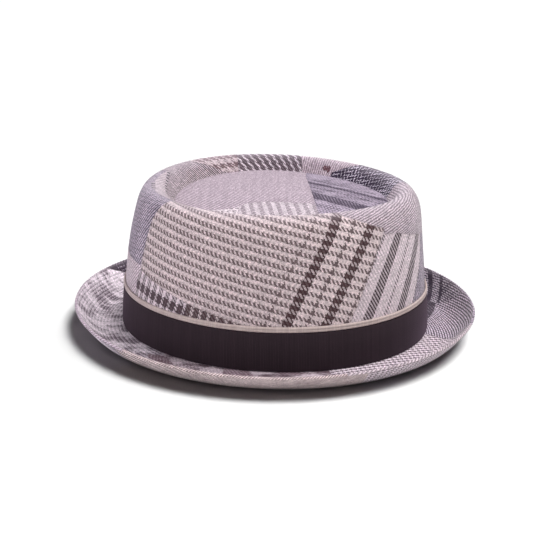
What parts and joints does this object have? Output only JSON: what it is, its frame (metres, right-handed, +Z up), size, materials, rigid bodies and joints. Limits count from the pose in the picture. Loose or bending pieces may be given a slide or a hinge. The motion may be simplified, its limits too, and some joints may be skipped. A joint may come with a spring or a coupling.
{
  "type": "porkpie hat",
  "caption": "Porkpie hat in patchwork cloth with a teardrop crown, dented top, narrow upturned brim, dark ribbon band and pale edging.",
  "frame": {"origin": "on the floor under the middle of the brim", "axes": "+X to the hat's front, +Y to the wearer's left, +Z up"},
  "size_m": [0.2705, 0.2392, 0.099],
  "materials": {
    "patchwork_cloth": "woven cotton patchwork in cream, mauve and plum, matt",
    "band_ribbon": "dark aubergine grosgrain ribbon, matt with fine upright ribs",
    "edging_ribbon": "pale taupe ribbon, matt with two fine ridges"
  },
  "bodies": {
    "root": {"hat_body": "patchwork_cloth", "hat_band": "band_ribbon", "band_edging": "edging_ribbon"}
  },
  "joints": []
}
